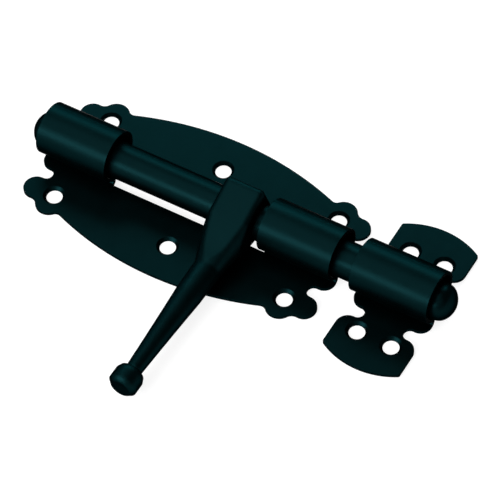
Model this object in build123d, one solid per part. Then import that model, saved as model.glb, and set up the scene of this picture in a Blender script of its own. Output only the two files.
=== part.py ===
from build123d import *
import os
from math import atan2, cos, degrees, hypot, radians, sin, sqrt, tan

# Sliding bolt, in millimetres. X runs along the bolt, Y across the plate and Z out of the door.
# The origin is the centre of the main plate's back face.

# Sheet that both plates are folded from
sheet = 1.5
fold_inside = 1.15
fold_y = 6.4

# Round bar and the rings that carry it
rod_d = 16.0
ring_play = 2.0
seat_gap = 0.3
dome_depth = 6.5
dome_shoulder = 5.5
tip_reach = 7.6
tail_reach = 7.0

# Screw holes, countersunk for flat heads
hole_d = 6.9
hole_row = 22.6
sink_d = 9.5

# Notch beside each ring, and the round shoulder above it
notch_y = 14.25
notch_r = 2.8
notch_depth = 8.5
shoulder_r = 5.4

# Main plate
plate_half = 70.7
plate_half_width = 38.5
plate_bow = 143.0
window_half = 37.0
corner_hole_x = 56.0
crest_r = 6.15
crest_rise = 3.8
crest_blend = 3.6
crest_valley = 2.6

# Strike plate
strike_gap = 9.5
strike_half = 17.75
strike_bow = 34.4
strike_corner = 1.0
strike_hole_x = 7.9

# Handle: a forging whose head sits over the bar, with a tapered stem and a knob.
# Each reach is a distance in front of the bar's axis.
handle_x = 23.6
saddle_run = 0.05
saddle_front_foot = 5.6
saddle_back_foot = 3.2
head_width = 18.4
head_top = 28.2
head_back = 4.65
back_lean = 17.0
head_slope = 19.3
brow_reach = 11.5
brow_r = 20.0
throat_reach = 28.5
throat_z = 14.4
throat_r = 40.0
edge_round = 2.4
foot_reach = 14.5
mouth_reach = 8.0
mouth_z = 14.1
mouth_d = 24.2
horn_reach = 27.0
horn_z = 8.7
horn_d = 13.2
horn_lead = 6.0
root_reach = 24.0
root_d = 12.4
root_rest_gap = 0.45
stem_reach = 44.0
stem_d = 11.7
stem_hollow = 0.1
neck_reach = 86.8
neck_z = 9.0
neck_d = 7.0
knob_d = 12.6
knob_length = 9.6
knob_shoulder = 2.8
knob_rim = 1.7

# Section of a ring: a circle of sheet that folds outwards into the flanges
rod_r = rod_d / 2
ring_in = rod_r + ring_play
ring_out = ring_in + sheet
fold_outside = fold_inside + sheet
fold_z = sheet + fold_inside
ring_z = fold_z + sqrt((ring_out + fold_inside) ** 2 - fold_y ** 2)
rod_z = fold_z + sqrt((rod_r + fold_outside + seat_gap) ** 2 - fold_y ** 2)

# Places along the bolt
strike_x = plate_half + strike_gap + strike_half
rod_right = strike_x + strike_half + tip_reach
rod_left = -plate_half - tail_reach

# Ends of the stem's axis in the YZ plane: it leaves the shank just clear of the plate
root = (-root_reach, sheet + root_rest_gap + root_d / 2)
neck = (-neck_reach, neck_z)


def arc(centre, radius, start, end):
    """Arc about centre from one angle to another, in degrees."""
    return CenterArc(centre, radius, start, end - start)


def angle_to(centre, point):
    return degrees(atan2(point[1] - centre[1], point[0] - centre[0]))


def meeting(a, a_radius, b, b_radius):
    """Point at a_radius from a and b_radius from b, on the left of the way from a to b."""
    gap = hypot(b[0] - a[0], b[1] - a[1])
    along = (a_radius ** 2 - b_radius ** 2 + gap ** 2) / (2 * gap)
    aside = sqrt(a_radius ** 2 - along ** 2)
    ux, uy = (b[0] - a[0]) / gap, (b[1] - a[1]) / gap
    return (a[0] + along * ux - aside * uy, a[1] + along * uy + aside * ux)


def ring_end_edges(end):
    """Edge of a plate from its middle line past the ear and notch to the top of the shoulder's side."""
    ear_r = notch_y - notch_r - fold_y
    low = notch_y - notch_r
    high = notch_y + notch_r
    notch_x = end - notch_depth + notch_r
    return [
        Line((end, 0), (end, fold_y)),
        arc((end - ear_r, fold_y), ear_r, 0, 90),
        Line((end - ear_r, low), (notch_x, low)),
        arc((notch_x, notch_y), notch_r, 270, 90),
        Line((notch_x, high), (end - shoulder_r, high)),
        arc((end - shoulder_r, high + shoulder_r), shoulder_r, -90, 0),
    ]


def whole_face(quarter):
    """Face whose edge is a quarter outline and its three mirror images."""
    half = quarter + [mirror(edge, about=Plane.YZ) for edge in quarter]
    edges = half + [mirror(edge, about=Plane.XZ) for edge in half]
    return make_face(Wire.combine([e for part in edges for e in part.edges()])[0])


def plate_outline():
    """Main plate: bowed long sides and a scalloped corner round each end hole."""
    edges = ring_end_edges(plate_half)
    lobe = (plate_half - shoulder_r, notch_y + notch_r + shoulder_r)
    crest = (corner_hole_x, hole_row + crest_rise)
    bow = (0, plate_half_width - plate_bow)
    dip = meeting(crest, crest_r + crest_blend, lobe, shoulder_r + crest_blend)
    valley = meeting(bow, plate_bow + crest_valley, crest, crest_r + crest_valley)
    edges.append(arc(lobe, shoulder_r, 0, angle_to(lobe, dip)))
    edges.append(arc(dip, crest_blend, angle_to(dip, lobe), angle_to(dip, crest)))
    edges.append(arc(crest, crest_r, angle_to(crest, dip), angle_to(crest, valley)))
    edges.append(arc(valley, crest_valley, angle_to(valley, crest), angle_to(valley, bow)))
    edges.append(arc(bow, plate_bow, angle_to(bow, valley), 90))
    return whole_face(edges)


def strike_outline():
    """Strike plate: straight sides and bowed ends with small round corners."""
    edges = ring_end_edges(strike_half)
    bow = (0, plate_half_width - strike_bow)
    corner_x = strike_half - strike_corner
    corner_y = bow[1] + sqrt((strike_bow - strike_corner) ** 2 - corner_x ** 2)
    corner = (corner_x, corner_y)
    bow_angle = angle_to(bow, corner)
    edges.append(Line((strike_half, notch_y + notch_r + shoulder_r), (strike_half, corner_y)))
    edges.append(arc(corner, strike_corner, 0, bow_angle))
    edges.append(arc(bow, strike_bow, bow_angle, 90))
    return whole_face(edges)


def ring_section():
    """Half of a ring's section is drawn in the YZ plane from the flange up over the top, then mirrored."""
    fold = (fold_y, fold_z)
    ring = (0, ring_z)
    join = angle_to(fold, ring)
    rise = angle_to(ring, fold)
    with BuildSketch(Plane.YZ) as section:
        with BuildLine():
            edges = [
                arc(ring, ring_out, rise, 90),
                Line((0, ring_z + ring_out), (0, ring_z + ring_in)),
                arc(ring, ring_in, 90, rise),
                arc(fold, fold_outside, join, 270),
                Line((fold_y, 0), (fold_y, sheet)),
                arc(fold, fold_inside, 270, join),
            ]
            add(edges)
        make_face()
        mirror(about=Plane.YZ)
    return section.sketch


def ring(start, end):
    return Pos(start, 0, 0) * extrude(ring_section(), end - start, dir=(1, 0, 0))


def screw_holes(places):
    """Countersunk through holes with their heads at the front face."""
    hole = CounterSinkHole(hole_d / 2, sink_d / 2, 2 * sheet, 90)
    return [Pos(x, y, sheet) * hole for x, y in places]


def four_holes(x):
    return [(side * x, row * hole_row) for side in (-1, 1) for row in (-1, 1)]


def folded_plate(outline, length, rings, holes):
    """Two flanges held together by their rings alone, one sheet throughout."""
    middle = Box(2 * length + 2, 2 * fold_y, 4 * sheet)
    flanges = extrude(outline, sheet) - middle
    body = flanges + [ring(start, end) for start, end in rings]
    return body - screw_holes(holes)


def domed_bar():
    """Round bar whose ends are turned to a shallow dome with a round shoulder."""
    rise = dome_depth - dome_shoulder
    inset = rod_r - dome_shoulder
    back = (inset ** 2 - rise ** 2) / (2 * rise)
    nose_r = back + dome_depth
    turn = degrees(atan2(inset, back))
    left = rod_left + dome_depth
    right = rod_right - dome_depth
    profile = make_face(
        [
            arc((right - back, 0), nose_r, 0, turn),
            arc((right, inset), dome_shoulder, turn, 90),
            Line((right, rod_r), (left, rod_r)),
            arc((left, inset), dome_shoulder, 90, 180 - turn),
            arc((left + back, 0), nose_r, 180 - turn, 180),
            Line((rod_left, 0), (rod_right, 0)),
        ]
    )
    return Pos(0, 0, rod_z) * revolve(profile, Axis.X)


def handle_side():
    """Head and shank from the side, in the YZ plane."""
    brow = (-brow_reach, head_top - (head_back + brow_reach) * tan(radians(head_slope)))
    foot = (head_back + (head_top - rod_z) * tan(radians(back_lean)), rod_z)
    front = (-stem_reach, throat_z)
    top = FilletPolyline(
        (head_back, head_top),
        brow,
        (-throat_reach, throat_z),
        front,
        radius=[brow_r, throat_r],
    )
    rest = Polyline(front, (-stem_reach, sheet), (-foot_reach, sheet), foot, (head_back, head_top))
    return Plane.YZ * make_face([top, rest])


def head_block():
    """Head and shank at full width, with the edges of the top and back rounded."""
    block = extrude(handle_side(), head_width / 2, both=True)
    tops = [face for face in block.faces() if face.normal_at().Z > 0.5]
    long_edges = [edge for face in tops for edge in face.edges() if abs(edge.center().X) > head_width / 4]
    back_edges = block.faces().sort_by(Axis.Y)[-1].edges().sort_by(Axis.Z)[1:]
    return fillet(long_edges + back_edges, edge_round)


def span(start, end):
    return hypot(end[0] - start[0], end[1] - start[1])


def turned(start, end, outline):
    """Solid turned about the line from start to end in the YZ plane; its outline is drawn along X."""
    along = (0, end[0] - start[0], end[1] - start[1])
    return Plane(origin=(0, *start), x_dir=along, z_dir=(1, 0, 0)) * revolve(make_face(outline), Axis.X)


def shank_cone():
    """Room for the head, and in front of it the cone that draws the shank in to the stem."""
    horn = (-horn_reach, horn_z)
    mouth = (-mouth_reach, mouth_z)
    length = span(horn, mouth)
    slope = (mouth_d - horn_d) / 2 / length
    room = 2 * mouth_d
    outline = Polyline(
        (-horn_lead, 0),
        (-horn_lead, horn_d / 2 - horn_lead * slope),
        (length, mouth_d / 2),
        (length, room),
        (length + room, room),
        (length + room, 0),
        close=True,
    )
    return turned(horn, mouth, outline)


def stem():
    """Tapered stem with slightly hollow sides, starting inside the shank."""
    length = span(root, neck)
    start = (stem_reach - root_reach, stem_d / 2)
    end = (length, neck_d / 2)
    middle = ((start[0] + end[0]) / 2, (start[1] + end[1]) / 2 - stem_hollow)
    rest = Polyline(end, (length, 0), (0, 0), (0, root_d / 2), start)
    return turned(root, neck, [ThreePointArc(start, middle, end), rest])


def knob():
    """Short round knob on the stem's end, with two chamfers behind and one round its front."""
    start = span(root, neck)
    end = start + knob_length
    knob_r = knob_d / 2
    shoulder = [
        (start + knob_shoulder * (1 - cos(radians(turn))), knob_r - knob_shoulder * (1 - sin(radians(turn))))
        for turn in (0, 45, 90)
    ]
    rim = [(end - knob_rim, knob_r), (end, knob_r - knob_rim)]
    return turned(root, neck, Polyline((start, 0), *shoulder, *rim, (end, 0), close=True))


def saddle_cut():
    """Bore round the bar, and what lies under the saddle's front and back feet."""
    reach = 2 * head_width
    bore = Rot(0, 90, 0) * Cylinder(rod_r + saddle_run, reach)
    below = Box(reach, 2 * rod_d, rod_d, align=(Align.CENTER, Align.MIN, Align.MAX))
    cut = bore + Pos(0, -saddle_front_foot, -saddle_front_foot) * below
    cut += Pos(0, 0, saddle_back_foot) * below
    return Pos(0, 0, rod_z) * cut


bolt_plate = folded_plate(
    plate_outline(),
    plate_half,
    [(-plate_half, -window_half), (window_half, plate_half)],
    four_holes(corner_hole_x) + [(0, -hole_row), (0, hole_row)],
)
strike_plate = Pos(strike_x, 0, 0) * folded_plate(
    strike_outline(),
    strike_half,
    [(-strike_half, strike_half)],
    four_holes(strike_hole_x),
)
bolt_rod = domed_bar()
handle = Pos(handle_x, 0, 0) * ((head_block() & shank_cone()) - saddle_cut() + stem() + knob())

parts = {
    "bolt_plate": bolt_plate,
    "strike_plate": strike_plate,
    "bolt_rod": bolt_rod,
    "handle": handle,
}

os.makedirs("parts", exist_ok=True)
for name, part in parts.items():
    export_step(part, f"parts/{name}.step")
    print(name, part.is_valid, len(part.solids()), part.bounding_box())
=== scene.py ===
import math

import bmesh
import bpy
from mathutils import Matrix, Vector

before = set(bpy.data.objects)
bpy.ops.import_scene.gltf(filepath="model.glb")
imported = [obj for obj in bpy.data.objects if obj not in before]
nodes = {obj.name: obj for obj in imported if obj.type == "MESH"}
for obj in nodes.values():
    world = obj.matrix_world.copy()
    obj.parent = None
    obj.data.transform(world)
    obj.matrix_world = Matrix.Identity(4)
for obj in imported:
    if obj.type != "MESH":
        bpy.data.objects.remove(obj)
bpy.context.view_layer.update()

print("frame loaded:", ", ".join(sorted(nodes)))

# Camera, solved from the screw holes and the ring ends
cameraView = {
    "azimuth": 34.668,             # degrees, as the two below
    "elevation": 53.508,
    "roll": -5.162,
    "depth": 1.318183,             # along the view to the plate's centre, in metres
    "lens": 226.719,
    "sensor": 36.0,
    "clip": (0.05, 20.0),
    "imageSize": 500,
    "centrePixel": (195.85, 209.609),   # where the plate's centre falls in the picture
}


def addObject(name, data):
    thing = bpy.data.objects.new(name, data)
    bpy.context.scene.collection.objects.link(thing)
    return thing


def makeCamera():
    view = cameraView
    azimuth, elevation, roll = (math.radians(view[key]) for key in ("azimuth", "elevation", "roll"))
    back = Vector((
        math.sin(azimuth) * math.cos(elevation),
        -math.cos(azimuth) * math.cos(elevation),
        math.sin(elevation),
    ))
    level = Vector((math.cos(azimuth), math.sin(azimuth), 0))
    upright = back.cross(level)
    right = math.cos(roll) * level + math.sin(roll) * upright
    up = back.cross(right)
    turn = Matrix((right, up, back)).transposed()

    focal = view["lens"] / view["sensor"] * view["imageSize"]
    column, row = view["centrePixel"]
    middle = view["imageSize"] / 2
    depth = view["depth"]
    offset = Vector(((column - middle) * depth / focal, (middle - row) * depth / focal, -depth))

    data = bpy.data.cameras.new("camera")
    data.lens = view["lens"]
    data.sensor_width = view["sensor"]
    data.clip_start, data.clip_end = view["clip"]
    camera = addObject("camera", data)
    camera.matrix_world = Matrix.Translation(-(turn @ offset)) @ turn.to_4x4()
    bpy.context.scene.camera = camera


makeCamera()
print("camera placed")

# Floor, sky and lamps, in metres and watts
studio = {
    "floorSize": 12.0,
    "floorDrop": 0.0002,           # the plates' backs stay clear of it
    "floorBounce": 0.18,           # its tone in the light that it throws back on the part
    "floorPaper": 0.3,             # its tone to the eye, which carries the part's shadow
    "floorGlow": 0.84,             # white on top of that, all that the deepest shadow leaves
    "skyLow": 0.85,                # level of the sky at the horizon, as pale as the far floor
    "skyHigh": 0.10,
    "skyBand": (0.10, 0.25),       # height in the sky, as a sine, where one turns into the other
    "lampsAim": (0.02, 0, 0.01),
    "lamps": (
        # name, direction it stands in, distance, width, height, watts
        ("behind", (-0.32, 0.74, 0.58), 1.1, 1.05, 0.45, 8.6),
        ("over", (-0.3, -0.22, 0.92), 1.0, 0.9, 0.75, 4.3),
        ("left", (-0.9, 0.38, 0.24), 1.1, 0.8, 0.7, 1.4),
        ("front", (-0.34, -0.83, 0.44), 0.9, 0.8, 0.26, 6.8),
        ("side", (0.42, -0.58, 0.7), 1.2, 0.7, 0.7, 1.2),
    ),
}


def grey(level):
    return (level, level, level, 1)


def newMaterial(name):
    material = bpy.data.materials.new(name)
    material.use_nodes = True
    material.node_tree.nodes.clear()
    return material, material.node_tree


def addNode(tree, kind, values=None, **settings):
    node = tree.nodes.new(kind)
    for key, value in settings.items():
        setattr(node, key, value)
    for key, value in (values or {}).items():
        node.inputs[key].default_value = value
    return node


# One for the rays that show the background: from the camera, off gloss and through glass
def seenDirectly(tree):
    path = addNode(tree, "ShaderNodeLightPath")
    first = addNode(tree, "ShaderNodeMath", operation="MAXIMUM")
    second = addNode(tree, "ShaderNodeMath", operation="MAXIMUM")
    tree.links.new(path.outputs["Is Camera Ray"], first.inputs[0])
    tree.links.new(path.outputs["Is Glossy Ray"], first.inputs[1])
    tree.links.new(first.outputs[0], second.inputs[0])
    tree.links.new(path.outputs["Is Transmission Ray"], second.inputs[1])
    return second.outputs[0]


def makeFloor():
    mesh = bpy.data.meshes.new("floor")
    shape = bmesh.new()
    place = Matrix.Translation((0, 0, -studio["floorDrop"]))
    bmesh.ops.create_grid(shape, x_segments=1, y_segments=1, size=studio["floorSize"] / 2, matrix=place)
    shape.to_mesh(mesh)
    shape.free()

    material, tree = newMaterial("floorPaper")
    bounce = addNode(tree, "ShaderNodeBsdfDiffuse", {"Color": grey(studio["floorBounce"])})
    paper = addNode(tree, "ShaderNodeBsdfDiffuse", {"Color": grey(studio["floorPaper"])})
    glow = addNode(tree, "ShaderNodeEmission", {"Color": grey(1), "Strength": studio["floorGlow"]})
    seen = addNode(tree, "ShaderNodeAddShader")
    mix = addNode(tree, "ShaderNodeMixShader")
    output = addNode(tree, "ShaderNodeOutputMaterial")
    tree.links.new(paper.outputs[0], seen.inputs[0])
    tree.links.new(glow.outputs[0], seen.inputs[1])
    tree.links.new(seenDirectly(tree), mix.inputs[0])
    tree.links.new(bounce.outputs[0], mix.inputs[1])
    tree.links.new(seen.outputs[0], mix.inputs[2])
    tree.links.new(mix.outputs[0], output.inputs["Surface"])
    mesh.materials.append(material)
    floor = addObject("floor", mesh)


def makeSky():
    world = bpy.data.worlds.new("sky")
    bpy.context.scene.world = world
    world.use_nodes = True
    tree = world.node_tree
    tree.nodes.clear()
    place = addNode(tree, "ShaderNodeTexCoord")
    split = addNode(tree, "ShaderNodeSeparateXYZ")
    bandLow, bandHigh = studio["skyBand"]
    level = addNode(tree, "ShaderNodeMapRange", {
        "From Min": bandLow,
        "From Max": bandHigh,
        "To Min": studio["skyLow"],
        "To Max": studio["skyHigh"],
    })
    sky = addNode(tree, "ShaderNodeBackground", {"Color": grey(1)})
    output = addNode(tree, "ShaderNodeOutputWorld")
    tree.links.new(place.outputs["Generated"], split.inputs[0])
    tree.links.new(split.outputs["Z"], level.inputs["Value"])
    tree.links.new(level.outputs[0], sky.inputs["Strength"])
    tree.links.new(sky.outputs[0], output.inputs["Surface"])


def makeLamps():
    aim = Vector(studio["lampsAim"])
    for name, direction, distance, width, height, watts in studio["lamps"]:
        data = bpy.data.lights.new(name, "AREA")
        data.shape = "RECTANGLE"
        data.size = width
        data.size_y = height
        data.energy = watts
        away = Vector(direction).normalized()
        facing = away.to_track_quat("Z", "Y").to_matrix().to_4x4()
        lamp = addObject(name, data)
        lamp.matrix_world = Matrix.Translation(aim + distance * away) @ facing


makeFloor()
makeSky()
makeLamps()
bpy.context.scene.view_settings.view_transform = "Standard"
print("floor, sky and lamps placed")

# Satin enamel, the same paint on every piece, with the handle's made paler as painted light: nearly all
# of its light is tinted gloss
coat = {
    "colour": (0.0014, 0.0092, 0.0103),
    "paintedLight": {"handle": 1.2},      # painted light: the handle's paint is made paler, standing in for the light its sloped faces miss
    "glancing": 0.26,              # level of the gloss seen along the surface
    "roughness": 0.41,
    "roughSpread": 0.05,           # from patch to patch, either way
    "toneSpread": 0.15,            # the same for the colour, as a share of it
    "patch": {"Scale": 140.0, "Detail": 3.0, "Roughness": 0.6},     # Scale is waves per metre
    "peel": {"Scale": 900.0, "Detail": 2.0, "Roughness": 0.5},      # bumps of the paint's skin
    "peelRelief": {"Strength": 0.25, "Distance": 0.00002},
    "edgeSoft": {"handle": 0.0022},     # radius of its edges and hollows, as forged
    "sheetEdge": 0.0003,           # radius that the paint gives the other pieces' sharp edges
    "edgeSamples": 6,
}


def makeCoat(name):
    material, tree = newMaterial(name + "Coat")
    place = addNode(tree, "ShaderNodeTexCoord")
    peel = addNode(tree, "ShaderNodeTexNoise", coat["peel"])
    patch = addNode(tree, "ShaderNodeTexNoise", coat["patch"])
    rough = addNode(tree, "ShaderNodeMapRange", {
        "To Min": coat["roughness"] - coat["roughSpread"],
        "To Max": coat["roughness"] + coat["roughSpread"],
    })
    shade = addNode(tree, "ShaderNodeMix", data_type="RGBA")
    # painted light: the handle's colour is scaled paler, in place of light that its tilted faces lack
    paintedLight = coat["paintedLight"].get(name, 1.0)
    for end, tone in (("A", 1 - coat["toneSpread"]), ("B", 1 + coat["toneSpread"])):
        shade.inputs[end].default_value = tuple(tone * paintedLight * c for c in coat["colour"]) + (1,)
    radius = coat["edgeSoft"].get(name, coat["sheetEdge"])
    edge = addNode(tree, "ShaderNodeBevel", {"Radius": radius}, samples=coat["edgeSamples"])
    bump = addNode(tree, "ShaderNodeBump", coat["peelRelief"])
    gloss = {"Metallic": 1.0, "Specular Tint": grey(coat["glancing"])}
    surface = addNode(tree, "ShaderNodeBsdfPrincipled", gloss)
    output = addNode(tree, "ShaderNodeOutputMaterial")
    tree.links.new(place.outputs["Object"], peel.inputs["Vector"])
    tree.links.new(place.outputs["Object"], patch.inputs["Vector"])
    tree.links.new(peel.outputs[0], bump.inputs["Height"])
    tree.links.new(edge.outputs[0], bump.inputs["Normal"])
    tree.links.new(patch.outputs[0], rough.inputs["Value"])
    tree.links.new(patch.outputs[0], shade.inputs["Factor"])
    tree.links.new(shade.outputs["Result"], surface.inputs["Base Color"])
    tree.links.new(rough.outputs[0], surface.inputs["Roughness"])
    tree.links.new(bump.outputs[0], surface.inputs["Normal"])
    tree.links.new(surface.outputs[0], output.inputs["Surface"])
    return material


for name in sorted(nodes):
    data = nodes[name].data
    data.materials.clear()
    data.materials.append(makeCoat(name))
print("paint on every piece")
